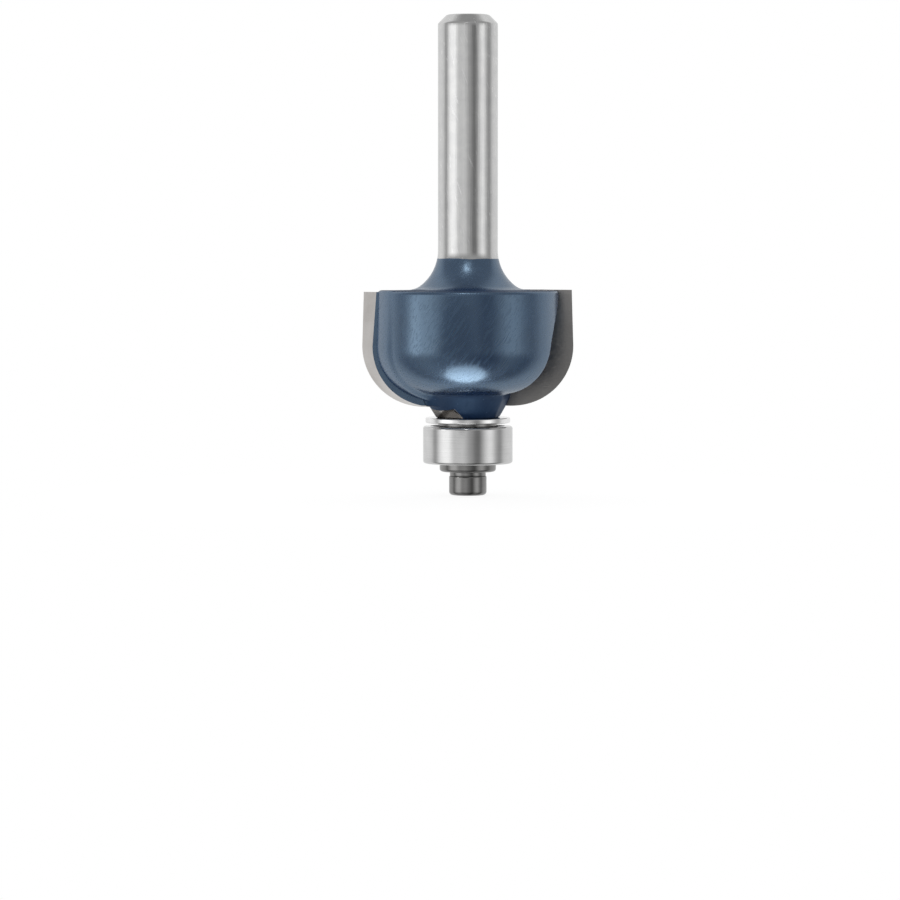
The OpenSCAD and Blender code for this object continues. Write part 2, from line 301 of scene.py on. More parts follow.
def settle(field, points, rounds=4, reach=0.06):
    """Moves each point down the field's slope onto its zero surface, by at most a small reach."""
    for _ in range(rounds):
        slope = slope_of(field, points)
        length = np.maximum((slope * slope).sum(axis=1), 0.05)
        move = -(field(*points.T) / length)[:, None] * slope
        size = np.maximum(np.linalg.norm(move, axis=1, keepdims=True), 1e-9)
        points = points + move * np.minimum(1, reach / size)
    return points


def piece_from(name, points, faces, body, nodes, normals=None, smooth_angle=None):
    """A piece of the object from points in millimetres and faces, riding on its body."""
    mesh = bpy.data.meshes.new(name)
    mesh.from_pydata(np.asarray(points) * MM, [], [list(map(int, f)) for f in faces])
    mesh.update()
    mesh.shade_smooth()
    if smooth_angle:
        mesh.set_sharp_from_angle(angle=np.radians(smooth_angle))
    if normals is not None:
        mesh.normals_split_custom_set_from_vertices(normals)
    piece = bpy.data.objects.new(name, mesh)
    bpy.context.scene.collection.objects.link(piece)
    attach(piece, body)
    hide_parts(*nodes)
    return piece


cell = 0.15
coarse_cell = 0.3
shank_rows = 40
spare = 0.2
bevel_spare = 0.05
head_reach = 10.05
across = np.arange(-head_reach, head_reach + cell, cell)
up_head = np.arange(boss_z - spare, neck_z + 2 * coarse_cell, cell)
up = np.concatenate([
    np.arange(stud_z - spare, boss_z - spare, coarse_cell),
    up_head,
    np.linspace(up_head[-1] + coarse_cell, bit_h - shank_bevel - spare, shank_rows),
    np.arange(bit_h - shank_bevel - bevel_spare, bit_h + coarse_cell, cell),
])
body_points, body_quads = skin_of(body_depth, across, across, up)
body_points = settle(body_depth, body_points)
body_normals = slope_of(body_depth, body_points)
body_normals /= np.linalg.norm(body_normals, axis=1, keepdims=True)
cutter = piece_from("turned_cutter_body", body_points, body_quads, "root",
                    ["cutter_body"], normals=body_normals)


def add_node(tree, kind, inputs=None, **settings):
    """A shader node with its settings; each input is a plain value or another node's output."""
    made = tree.nodes.new(kind)
    for name, value in settings.items():
        setattr(made, name, value)
    for name, value in (inputs or {}).items():
        if isinstance(value, bpy.types.NodeSocket):
            tree.links.new(value, made.inputs[name])
        else:
            made.inputs[name].default_value = value
    return made


def math_of(tree, operation, a, b=0.0):
    """One sum on two values or outputs."""
    return add_node(tree, "ShaderNodeMath", {0: a, 1: b}, operation=operation).outputs[0]


def band(tree, value, low, high):
    """A value spread from 0 at low to 1 at high, and held outside."""
    made = add_node(tree, "ShaderNodeMapRange",
                    {"Value": value, "From Min": low, "From Max": high}, clamp=True)
    return made.outputs["Result"]


def blend_of(tree, share, first, second):
    """A blend of two values, first where the share is 0 and second where it is 1."""
    return add_node(tree, "ShaderNodeMix", {"Factor": share, "A": first, "B": second}).outputs[0]


def noise_of(tree, place, scale, detail):
    """Soft noise about a half, finer with a larger scale."""
    made = add_node(tree, "ShaderNodeTexNoise", {"Vector": place, "Scale": scale, "Detail": detail})
    return made.outputs["Fac"]


def from_axis(tree, xyz):
    """How far a point is from the tool's axis: the root of x squared plus y squared."""
    squares = [math_of(tree, "MULTIPLY", xyz[side], xyz[side]) for side in "XY"]
    return math_of(tree, "SQRT", math_of(tree, "ADD", *squares))


def emboss(tree, shader, height, strength, depth):
    """Gives a shader the fine relief of a height, with its depth in millimetres."""
    made = add_node(tree, "ShaderNodeBump",
                    {"Strength": strength, "Distance": depth * MM, "Height": height})
    tree.links.new(made.outputs[0], shader.inputs["Normal"])


def mix_colour(tree, share, first, second):
    """A blend of two colours, first where the share is 0 and second where it is 1."""
    made = tree.nodes.new("ShaderNodeMix")
    made.data_type = "RGBA"
    for name, value in (("Factor", share), ("A", first), ("B", second)):
        socket = next(s for s in made.inputs if s.name == name and s.enabled)
        if isinstance(value, bpy.types.NodeSocket):
            tree.links.new(value, socket)
        else:
            socket.default_value = value
    return next(s for s in made.outputs if s.enabled)


def group_of(name, inputs, outputs):
    """A shader node group with named inputs and outputs: its tree, its inputs and its output node."""
    tree = bpy.data.node_groups.new(name, "ShaderNodeTree")
    for socket, kind, value in inputs:
        made = tree.interface.new_socket(name=socket, in_out="INPUT", socket_type=kind)
        if value is not None:
            made.default_value = value
    for socket, kind in outputs:
        tree.interface.new_socket(name=socket, in_out="OUTPUT", socket_type=kind)
    return tree, tree.nodes.new("NodeGroupInput").outputs, tree.nodes.new("NodeGroupOutput").inputs


def material_of(name, **sockets):
    """A new material with one Principled shader, its constant sockets set: with tree and shader."""
    made = bpy.data.materials.new(name)
    made.use_nodes = True
    shader = made.node_tree.nodes["Principled BSDF"]
    for socket, value in sockets.items():
        shader.inputs[socket.replace("_", " ")].default_value = value
    return made, made.node_tree, shader


def scratches_group():
    """Fine scratches: noise stretched far along one direction, less a level that only its crests
    pass, times eight."""
    tree, given, out = group_of(
        "fine_scratches",
        [("Vector", "NodeSocketVector", None), ("Turn", "NodeSocketVector", (0, 0, 0)),
         ("Scale", "NodeSocketFloat", 1000.0), ("Stretch", "NodeSocketVector", (1, 1, 0.03)),
         ("Fewness", "NodeSocketFloat", 0.6)],
        [("Mask", "NodeSocketFloat")])
    turned_in = add_node(tree, "ShaderNodeVectorRotate",
                         {"Vector": given["Vector"], "Rotation": given["Turn"]},
                         rotation_type="EULER_XYZ")
    drawn = add_node(tree, "ShaderNodeVectorMath",
                     {0: turned_in.outputs[0], 1: given["Stretch"]}, operation="MULTIPLY")
    noise = noise_of(tree, drawn.outputs[0], given["Scale"], 2.0)
    above = math_of(tree, "SUBTRACT", noise, given["Fewness"])
    cut = math_of(tree, "MULTIPLY", above, 8.0)
    clamped = add_node(tree, "ShaderNodeClamp", {"Value": cut})
    tree.links.new(clamped.outputs[0], out["Mask"])
    return tree


def specks_group():
    """Specks: small round dots, one in some cells of a cell pattern, at a given size and share."""
    tree, given, out = group_of(
        "specks",
        [("Vector", "NodeSocketVector", None), ("Scale", "NodeSocketFloat", 1000.0),
         ("Size", "NodeSocketFloat", 0.2), ("Share", "NodeSocketFloat", 0.3)],
        [("Mask", "NodeSocketFloat")])
    cells = add_node(tree, "ShaderNodeTexVoronoi",
                     {"Vector": given["Vector"], "Scale": given["Scale"]})
    out_share = math_of(tree, "DIVIDE", cells.outputs["Distance"], given["Size"])
    dot = add_node(tree, "ShaderNodeClamp", {"Value": math_of(tree, "SUBTRACT", 1.0, out_share)}).outputs[0]
    split = add_node(tree, "ShaderNodeSeparateColor", {"Color": cells.outputs["Color"]})
    chosen = math_of(tree, "LESS_THAN", split.outputs[0], given["Share"])
    tree.links.new(math_of(tree, "MULTIPLY", dot, chosen), out["Mask"])
    return tree


scratches = scratches_group()
specks = specks_group()


def use_group(tree, group, **inputs):
    """One placed group, with its own values: its outputs."""
    return add_node(tree, "ShaderNodeGroup", {k.replace("_", " "): v for k, v in inputs.items()},
                    node_tree=group).outputs


paint_z = 25.05
enamel_dark = (0.001, 0.013, 0.062, 1)
enamel_light = (0.005, 0.027, 0.092, 1)
enamel_speck = (0.16, 0.24, 0.36, 1)
enamel_tint = (0.52, 0.76, 1.0, 1)
# A darker specular tint: painted shade on the boss and on the head's flat top.
shaded_tint = (0.18, 0.28, 0.38, 1)
enamel_rough = 0.23
steel_dark = (0.61, 0.61, 0.61, 1)
steel_light = (0.66, 0.66, 0.655, 1)
steel_scratch = (0.85, 0.85, 0.85, 1)
steel_rough = 0.09
# The flats' ground steel is a warm grey, made darker than the shank's steel as painted shade for the dark
# reflection the flats show.
flat_colour = (0.48, 0.46, 0.44, 1)
# Painted shade: the near-black colour on the end of each boss flat.
flat_shade_colour = (0.17, 0.16, 0.15, 1)
paint_wander = 0.3
paint_fade = 0.05
enamel_coat = 0.15
dull_rough = 0.3
# Where the painted shade on a flat's end begins and where it is full, along the flat.
flat_shade_start = 0.35
flat_shade_full = 0.8
flat_spare = 0.04
# Where the rough enamel and its painted shade lie: under this height on the boss, and past this radius on the
# head's top.
dull_shade_top_z = 10.95
dull_shade_boss_r = 5.6
dull_shade_rim_r = 5.8


def on_graze(tree, xyz):
    """1 on the ground flats of the boss, 0 elsewhere: a point is on a flat where its depth outside
    the flat's plane is nothing. The two flats are alike, half a turn apart. The second output is
    1 on the end of a flat that is painted darker, as painted shade."""
    reach = math_of(tree, "ADD", math_of(tree, "MULTIPLY", xyz["X"], np.cos(graze_turn)),
                    math_of(tree, "MULTIPLY", xyz["Y"], np.sin(graze_turn)))
    out = math_of(tree, "SUBTRACT", math_of(tree, "ABSOLUTE", reach), graze_d * MM)
    rise = math_of(tree, "SUBTRACT", xyz["Z"], boss_z * MM)
    outside = math_of(tree, "SUBTRACT", math_of(tree, "MULTIPLY", out, np.cos(graze_lean)),
                      math_of(tree, "MULTIPLY", rise, np.sin(graze_lean)))
    up_flat = math_of(tree, "ADD", math_of(tree, "MULTIPLY", rise, np.cos(graze_lean)),
                      math_of(tree, "MULTIPLY", out, np.sin(graze_lean)))
    low = math_of(tree, "LESS_THAN", up_flat, (graze_l + flat_spare) * MM)
    along = math_of(tree, "SUBTRACT", math_of(tree, "MULTIPLY", xyz["Y"], np.cos(graze_turn)),
                    math_of(tree, "MULTIPLY", xyz["X"], np.sin(graze_turn)))
    along = math_of(tree, "MULTIPLY", along, math_of(tree, "SIGN", reach))
    return (math_of(tree, "MULTIPLY", band(tree, outside, -0.05 * MM, -0.02 * MM), low),
            band(tree, along, -flat_shade_start * MM, -flat_shade_full * MM))


def where_dull_and_shaded(tree, xyz):
    """1 where the enamel is made dull and shaded: on the boss, below the bowl and near the axis, and on
    the head's flat top, which faces up outside the flare. There it is rougher and without coat, and
    its darker specular tint is painted shade."""
    out = from_axis(tree, xyz)
    boss = math_of(tree, "MULTIPLY", band(tree, xyz["Z"], dull_shade_top_z * MM, (dull_shade_top_z - 0.2) * MM),
                   band(tree, out, dull_shade_boss_r * MM, (dull_shade_boss_r - 0.4) * MM))
    facing = add_node(tree, "ShaderNodeNewGeometry").outputs["Normal"]
    facing_up = add_node(tree, "ShaderNodeSeparateXYZ", {"Vector": facing}).outputs["Z"]
    top = math_of(tree, "MULTIPLY", band(tree, facing_up, 0.75, 0.95),
                  band(tree, out, dull_shade_rim_r * MM, (dull_shade_rim_r + 0.4) * MM))
    return math_of(tree, "MAXIMUM", boss, top)


def enamel_and_steel():
    """Blue enamel up to the paint line, bare ground steel over it and on the boss's ground flats."""
    made, tree, shader = material_of("blue_enamel_and_steel", IOR=2.6, Coat_Roughness=0.25)
    place = add_node(tree, "ShaderNodeTexCoord").outputs["Object"]
    xyz = add_node(tree, "ShaderNodeSeparateXYZ", {"Vector": place}).outputs
    wobble = noise_of(tree, place, 500.0, 2.0)
    wave = math_of(tree, "MULTIPLY", math_of(tree, "SUBTRACT", wobble, 0.5), paint_wander * MM)
    height = math_of(tree, "ADD", xyz["Z"], wave)
    shank_bare = band(tree, height, paint_z * MM, (paint_z + paint_fade) * MM)
    flat_bare, painted_flat_shade = on_graze(tree, xyz)
    bare = math_of(tree, "MAXIMUM", shank_bare, flat_bare)
    # Glossy is 0 on bare steel and where the enamel is made dull and given painted shade.
    glossy = math_of(tree, "SUBTRACT", 1.0, math_of(tree, "MAXIMUM", bare, where_dull_and_shaded(tree, xyz)))

    mottle = noise_of(tree, place, 350.0, 5.0)
    blue = mix_colour(tree, band(tree, mottle, 0.3, 0.7), enamel_dark, enamel_light)
    dust = use_group(tree, specks, Vector=place, Scale=2600.0, Size=0.22, Share=0.3)["Mask"]
    blue = mix_colour(tree, math_of(tree, "MULTIPLY", dust, 0.5), blue, enamel_speck)

    streak = use_group(tree, scratches, Vector=place, Turn=(0.0, -0.6, 0.0), Scale=5200.0,
                       Stretch=(1.0, 1.0, 0.06), Fewness=0.5)["Mask"]
    lengthwise = use_group(tree, scratches, Vector=place, Scale=9000.0,
                           Stretch=(1.0, 1.0, 0.015), Fewness=0.5)["Mask"]
    steel_tone = noise_of(tree, place, 900.0, 4.0)
    steel = mix_colour(tree, band(tree, steel_tone, 0.35, 0.65), steel_dark, steel_light)
    stray = use_group(tree, scratches, Vector=place, Turn=(0.0, 0.3, 0.0), Scale=4500.0,
                      Stretch=(1.0, 1.0, 0.07), Fewness=0.64)["Mask"]
    steel = mix_colour(tree, stray, steel, steel_scratch)
    # Each flat's end is blended to the near-black colour: painted shade.
    ground = mix_colour(tree, painted_flat_shade, flat_colour, flat_shade_colour)
    steel = mix_colour(tree, flat_bare, steel, ground)
    tree.links.new(mix_colour(tree, bare, blue, steel), shader.inputs["Base Color"])
    tree.links.new(bare, shader.inputs["Metallic"])
    tree.links.new(math_of(tree, "MULTIPLY", glossy, enamel_coat), shader.inputs["Coat Weight"])
    # The dull places take the darker specular tint: painted shade.
    tint = mix_colour(tree, glossy, shaded_tint, enamel_tint)
    tree.links.new(mix_colour(tree, bare, tint, (1, 1, 1, 1)), shader.inputs["Specular Tint"])
    dullness = math_of(tree, "MULTIPLY", math_of(tree, "SUBTRACT", 1.0, glossy), dull_rough)
    rough = math_of(tree, "ADD", math_of(tree, "ADD", enamel_rough, dullness),
                    math_of(tree, "MULTIPLY", streak, 0.10))
    steel_scored = math_of(tree, "ADD", steel_rough, math_of(tree, "MULTIPLY", stray, 0.2))
    steel_gloss = math_of(tree, "ADD", steel_scored, math_of(tree, "MULTIPLY", lengthwise, 0.06))
    tree.links.new(blend_of(tree, bare, rough, steel_gloss), shader.inputs["Roughness"])
    peel = noise_of(tree, place, 1400.0, 2.0)
    swell = noise_of(tree, place, 480.0, 1.0)
    swell = math_of(tree, "MULTIPLY", math_of(tree, "SUBTRACT", swell, 0.5), glossy)
    waves = math_of(tree, "ADD", math_of(tree, "MULTIPLY", peel, 0.1), math_of(tree, "MULTIPLY", swell, 3.0))
    grit = math_of(tree, "ADD", math_of(tree, "MULTIPLY", dust, 0.3), math_of(tree, "MULTIPLY", streak, 0.15))
    paint = math_of(tree, "ADD", waves, grit)
    relief = blend_of(tree, bare, paint, math_of(tree, "MULTIPLY", lengthwise, 0.15))
    emboss(tree, shader, relief, 0.4, 0.02)
    return made


enamel = enamel_and_steel()
cutter.data.materials.append(enamel)

# The two carbide tips. Each is a slab of sintered carbide, brazed into its seat, then ground on its
# face and its outside to the cutting profile. The relief grows from the foot of the cove to the top.
back_taper = 0.17
relief_top = 1.69
relief_side = 1.43
edge_rows = 24
cove_rows = 96
slab_rows = 4


def tip_outlines(top_z):
    """A tip's outline on its face and on its back: a straight edge, a quarter round for the cove,
    then the flute's floor. The back is the face moved in by the relief, square to the edge."""
    rise = np.linspace(top_z, cove_z, edge_rows, endpoint=False)
    turn = np.linspace(0, np.pi / 2, cove_rows)
    r = np.concatenate([cut_r - back_taper * (rise - cove_z) / (rim_z - cove_z),
                        cut_r - cove_r + cove_r * np.cos(turn)])
    z = np.concatenate([rise, cove_z - cove_r * np.sin(turn)])
    lean = np.concatenate([np.zeros(edge_rows), turn])
    side = relief_side + (relief_top - relief_side) * np.maximum(z - cove_z, 0) / (rim_z - cove_z)
    relief = np.where(lean > 0, relief_foot + (relief_side - relief_foot) * np.cos(lean), side)
    face = np.stack([np.sqrt(r * r - face_y * face_y), z], axis=1)
    back = face + relief[:, None] * np.stack([-np.cos(lean), np.sin(lean)], axis=1)
    outlines = []
    for outline in (face, back):
        foot = outline[-1, 1]
        floor = [[np.interp(foot, floor_line[:, 1], floor_line[:, 0]), foot], floor_line[1],
                 [np.interp(top_z, floor_line[:, 1], floor_line[:, 0]), top_z]]
        outlines.append(np.concatenate([outline, floor]))
    return outlines


def carbide_tip(name, node, half):
    """A tip as a ruled band, face times (1 - share) plus back times share, closed at each end by a
    fan from the floor's knee."""
    face, back = tip_outlines(span_of(node)[1])
    n = len(face)
    share = np.linspace(0, 1, slab_rows)[:, None, None]
    flat = face * (1 - share) + back * share
    depth = face_y + tip_t * np.linspace(0, 1, slab_rows)
    x, y = flat[..., 0], np.repeat(depth[:, None], n, axis=1)
    x, y = turned(-face_turn - half, x, y)
    points = np.stack([x, y, flat[..., 1]], axis=2).reshape(-1, 3)
    i, j = np.meshgrid(np.arange(slab_rows - 1) * n, np.arange(n), indexing="ij")
    after = (j + 1) % n
    band_faces = np.stack([i + j, i + after, i + n + after, i + n + j], axis=2).reshape(-1, 4)
    knee = n - 2
    ring = np.array([(k, (k + 1) % n) for k in range(n) if knee not in (k, (k + 1) % n)])
    top = (slab_rows - 1) * n
    front = [(knee, b, a) for a, b in ring]
    rear = [(top + knee, top + a, top + b) for a, b in ring]
    piece = piece_from(name, points, [*band_faces, *front, *rear], "root", [node],
                       smooth_angle=24)
    # The cutting face, index 1, takes the darker carbide, which is painted shade; the back, index 2, takes
    # the enamel.
    finish = np.zeros(len(piece.data.polygons), int)
    finish[-len(front) - len(rear):-len(rear)] = 1
    finish[-len(rear):] = 2
    for material in (carbide, shaded_face_carbide, enamel):
        piece.data.materials.append(material)
    piece.data.polygons.foreach_set("material_index", finish)
    return piece


def ground_carbide(name, dark, light, line, rough):
    """Ground carbide: a warm grey with fine grinding lines and faint stains from the braze."""
    made, tree, shader = material_of(name, Metallic=1.0)
    place = add_node(tree, "ShaderNodeTexCoord").outputs["Object"]
    stain = noise_of(tree, place, 260.0, 6.0)
    lines = use_group(tree, scratches, Vector=place, Turn=(0.0, 0.1, 0.0), Scale=9000.0,
                      Stretch=(0.05, 1.0, 1.0), Fewness=0.5)["Mask"]
    colour = mix_colour(tree, band(tree, stain, 0.3, 0.72), dark, light)
    colour = mix_colour(tree, math_of(tree, "MULTIPLY", lines, 0.25), colour, line)
    tree.links.new(colour, shader.inputs["Base Color"])
    tree.links.new(math_of(tree, "ADD", rough, math_of(tree, "MULTIPLY", lines, 0.1)),
                   shader.inputs["Roughness"])
    emboss(tree, shader, lines, 0.3, 0.01)
    return made


carbide = ground_carbide("ground_carbide", (0.52, 0.495, 0.475, 1), (0.70, 0.68, 0.66, 1),
                         (0.76, 0.75, 0.74, 1), 0.34)
# The cutting faces' copy of the carbide is darker: painted shade for the dark reflection a face shows.
shaded_face_carbide = ground_carbide("shaded_face_carbide", (0.33, 0.32, 0.312, 1), (0.38, 0.37, 0.36, 1),
                               (0.44, 0.43, 0.42, 1), 0.30)
carbide_tip("right_tip", "right_carbide_tip", 0)
carbide_tip("left_tip", "left_carbide_tip", np.pi)

# The chip shield and the spacer. Both are turned rings on the stud: the shield is bright and keeps
# chips off the bearing, and the dark spacer keeps the shield clear of the bearing's outer ring.


def rounded(corners, steps=7):
    """A closed section from corners (radius, height, round): each corner is an arc that touches both
    sides, turned evenly from one side to the other, with the outward normal at each point."""
    corners = np.asarray(corners, float)
    places = corners[:, :2]
    to_last = np.roll(places, 1, axis=0) - places
    to_next = np.roll(places, -1, axis=0) - places
    to_last /= np.linalg.norm(to_last, axis=1, keepdims=True)
    to_next /= np.linalg.norm(to_next, axis=1, keepdims=True)
    half = np.arccos(np.clip((to_last * to_next).sum(axis=1), -1, 1)) / 2
    middle = to_last + to_next
    middle /= np.linalg.norm(middle, axis=1, keepdims=True)
    centre = places + middle * (corners[:, 2] / np.sin(half))[:, None]
    first = places + to_last * (corners[:, 2] / np.tan(half))[:, None] - centre
    last = places + to_next * (corners[:, 2] / np.tan(half))[:, None] - centre
    sweep = np.pi - 2 * half
    share = np.linspace(0, 1, steps)[None, :, None]
    sweep = sweep[:, None, None]
    spoke = (np.sin((1 - share) * sweep) * first[:, None] + np.sin(share * sweep) * last[:, None])
    spoke /= np.sin(sweep)
    turn = first[:, 0] * last[:, 1] - first[:, 1] * last[:, 0]
    normal = spoke / corners[:, 2][:, None, None] * np.sign(turn)[:, None, None]
    points = centre[:, None] + spoke
    return points.reshape(-1, 2), normal.reshape(-1, 2)


def ring_piece(name, corners, body, nodes, material, columns=192, steps=7):
    """A ring turned from a rounded section: x and y are the section's radius times the cosine and
    sine of the angle, and the normals turn in the same way."""
    section, normal = rounded(corners, steps)
    n = len(section)
    angle = np.arange(columns) * 2 * np.pi / columns
    cos, sin = np.cos(angle)[None, :], np.sin(angle)[None, :]
    high = np.repeat(section[:, 1:], columns, axis=1)
    points = np.stack([section[:, :1] * cos, section[:, :1] * sin, high], axis=2).reshape(-1, 3)
    high = np.repeat(normal[:, 1:], columns, axis=1)
    normals = np.stack([normal[:, :1] * cos, normal[:, :1] * sin, high], axis=2).reshape(-1, 3)
    i, j = np.meshgrid(np.arange(n), np.arange(columns), indexing="ij")
    up_row, next_col = (i + 1) % n, (j + 1) % columns
    faces = np.stack([i * columns + j, i * columns + next_col, up_row * columns + next_col,
                      up_row * columns + j], axis=2).reshape(-1, 4)
    piece = piece_from(name, points, faces, body, nodes, normals=normals)
    piece.data.materials.append(material)
    return piece


def plain_section(inner, outer, low, high, edge=0.06, bore=0.03):
    """A ring's section from its radii and heights, with rounded outer edges and bore edges."""
    return [(inner, low, bore), (outer, low, edge), (outer, high, edge), (inner, high, bore)]


def turned_metal(name, dark, light, rough, line_scale=14000.0, line_depth=0.25, turn_rate=0.00006):
    """Turned metal: fine lines round the axis, a broken tone and a roughness that varies a little.
    The lines are noise that changes only slowly with the angle, by the turn rate."""
    made, tree, shader = material_of(name, Metallic=1.0)
    place = add_node(tree, "ShaderNodeTexCoord").outputs["Object"]
    xyz = add_node(tree, "ShaderNodeSeparateXYZ", {"Vector": place}).outputs
    angle = math_of(tree, "ARCTAN2", xyz["Y"], xyz["X"])
    drawn_out = {"X": from_axis(tree, xyz), "Y": math_of(tree, "MULTIPLY", angle, turn_rate), "Z": xyz["Z"]}
    round_place = add_node(tree, "ShaderNodeCombineXYZ", drawn_out).outputs[0]
    lines = noise_of(tree, round_place, line_scale, 3.0)
    tone = noise_of(tree, place, 700.0, 5.0)
    share = math_of(tree, "ADD", math_of(tree, "MULTIPLY", band(tree, tone, 0.3, 0.7), 0.6),
                    math_of(tree, "MULTIPLY", band(tree, lines, 0.35, 0.65), 0.4))
    tree.links.new(mix_colour(tree, share, dark, light), shader.inputs["Base Color"])
    tree.links.new(math_of(tree, "ADD", rough, math_of(tree, "MULTIPLY", share, 0.06)),
                   shader.inputs["Roughness"])
    emboss(tree, shader, lines, line_depth, 0.004)
    return made


bright_steel = turned_metal("bright_steel", (0.84, 0.84, 0.84, 1), (0.94, 0.94, 0.94, 1), 0.10)
black_oxide = turned_metal("black_oxide", (0.21, 0.208, 0.205, 1), (0.27, 0.268, 0.265, 1), 0.09)
shield_low, shield_high = span_of("chip_shield")
shield_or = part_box("chip_shield")[1].x / MM
ring_piece("bright_chip_shield", plain_section(stud_r, shield_or, shield_low, shield_high, edge=0.12),
           "root", ["chip_shield"], bright_steel)
spacer_low, spacer_high = span_of("spacer_ring")
spacer_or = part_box("spacer_ring")[1].x / MM
ring_piece("dark_spacer", plain_section(stud_r, spacer_or, spacer_low, spacer_high, edge=0.04),
           "root", ["spacer_ring"], black_oxide)

# The pilot bearing. Its ground outer ring rolls on seven balls round an inner ring on the stud, a
# brass crown keeps the balls apart, and two thin shields, held by snap wires, close its ends.
race_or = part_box("bearing_outer_ring")[1].x / MM
race_low, race_high = span_of("bearing_outer_ring")
race_mid = (race_low + race_high) / 2
outer_ir = 3.75
rebate_r = 3.98
rebate_d = 0.42
ball_ring_r = 3.175
ball_r = 0.794
ball_play = 0.015
groove_r = 0.834
groove_slack = 0.03
groove_x = ball_ring_r + ball_r + ball_play - groove_r
bearing_steel = turned_metal("bearing_steel", (0.58, 0.58, 0.58, 1), (0.68, 0.68, 0.68, 1), 0.07)
shield_steel = turned_metal("shield_steel", (0.42, 0.42, 0.43, 1), (0.55, 0.55, 0.56, 1), 0.3)
ball_steel = turned_metal("ball_steel", (0.78, 0.78, 0.79, 1), (0.86, 0.86, 0.87, 1), 0.06)
crown_brass = turned_metal("crown_brass", (0.52, 0.38, 0.16, 1), (0.66, 0.5, 0.24, 1), 0.3)


def outer_ring_section():
    """The outer ring's section on one side of the axis: rounded outside, stepped at both ends, with
    a ball groove. The groove is one corner, where its arc's two tangents meet."""
    lean = np.arccos((outer_ir - groove_x) / groove_r)
    mouth = groove_r * np.sin(lean) * (1 + groove_slack)
    return [
        (rebate_r, race_low, 0.04), (race_or, race_low, 0.28), (race_or, race_high, 0.28),
        (rebate_r, race_high, 0.04), (rebate_r, race_high - rebate_d, 0.03),
        (outer_ir, race_high - rebate_d, 0.03), (outer_ir, race_mid + mouth, 0.02),
        (groove_x + groove_r / np.cos(lean), race_mid, groove_r * (1 - groove_slack)),
        (outer_ir, race_mid - mouth, 0.02), (outer_ir, race_low + rebate_d, 0.03),
        (rebate_r, race_low + rebate_d, 0.03),
    ]


ring_piece("rolling_ring", outer_ring_section(), "outer_race",
           ["bearing_outer_ring"], bearing_steel)
inner_finishes = {"bearing_inner_ring": bearing_steel, "ball_retainer": crown_brass}
for node in ("upper_bearing_shield", "lower_bearing_shield", "upper_snap_wire", "lower_snap_wire"):
    inner_finishes[node] = shield_steel
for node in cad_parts:
    if node.startswith("ball_") and node != "ball_retainer":
        inner_finishes[node] = ball_steel
for node, finish in inner_finishes.items():
    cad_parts[node].data.materials.clear()
    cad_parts[node].data.materials.append(finish)

# The fastening. A black-oxide washer bears on the inner ring, a split spring washer keeps tension,
# and a small socket-head cap screw with a smooth head draws them up into the stud.
clamp_low, clamp_high = span_of("clamp_washer")
clamp_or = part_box("clamp_washer")[1].x / MM
washer_ir = 1.1
ring_piece("clamp_ring", [(washer_ir, clamp_low, 0.04), (clamp_or, clamp_low, 0.3),
                          (clamp_or, clamp_high, 0.08), (washer_ir, clamp_high, 0.04)],
           "root", ["clamp_washer"], black_oxide)
lock_low, lock_high = span_of("lock_washer")
lock_ir = 1.05
lock_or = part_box("lock_washer")[1].y / MM
lock_turn = np.radians(65)
lock_gap = 0.14
lock_slant = np.radians(20)
lock_columns = 160


def split_ring():
    """A ring with a slanted cut: its section is carried round from one side of the cut to the other.
    A point's first angle shifts with its height over its radius, so the cut leans and stays even."""
    section, _ = rounded(plain_section(lock_ir, lock_or, lock_low, lock_high, edge=0.05), 5)
    n = len(section)
    r, z = section[:, :1], section[:, 1:]
    open_angle = lock_gap / r
    shift = np.tan(lock_slant) * (z - (lock_low + lock_high) / 2) / r
    share = np.linspace(0, 1, lock_columns)[None, :]
    angle = lock_turn + open_angle / 2 - shift + (2 * np.pi - open_angle) * share
    points = np.stack([r * np.cos(angle), r * np.sin(angle), z + 0 * angle], axis=2).reshape(-1, 3)
    i, j = np.meshgrid(np.arange(n), np.arange(lock_columns - 1), indexing="ij")
    after = (i + 1) % n
    faces = np.stack([i * lock_columns + j, i * lock_columns + j + 1, after * lock_columns + j + 1,
                      after * lock_columns + j], axis=2).reshape(-1, 4)
    first_end = [np.arange(n) * lock_columns]
    last_end = [np.arange(n)[::-1] * lock_columns + lock_columns - 1]
    return points, [*faces, *first_end, *last_end]


points, faces = split_ring()
lock_ring = piece_from("split_lock_ring", points, faces, "root", ["lock_washer"],
                       smooth_angle=35)
lock_ring.data.materials.append(black_oxide)

head_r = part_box("cap_screw")[1].x / MM
head_h = lock_low
head_round = 0.38
screw_top = span_of("cap_screw")[1]
socket_w = 1.5
socket_d = 1.0
socket_cone = 0.3
socket_rim = 0.93
rim_outside = 0.96
screw_columns = 384
thread_pitch = 0.4
thread_depth = 0.2
thread_start = 0.02
thread_end = 0.25
thread_rows = 110


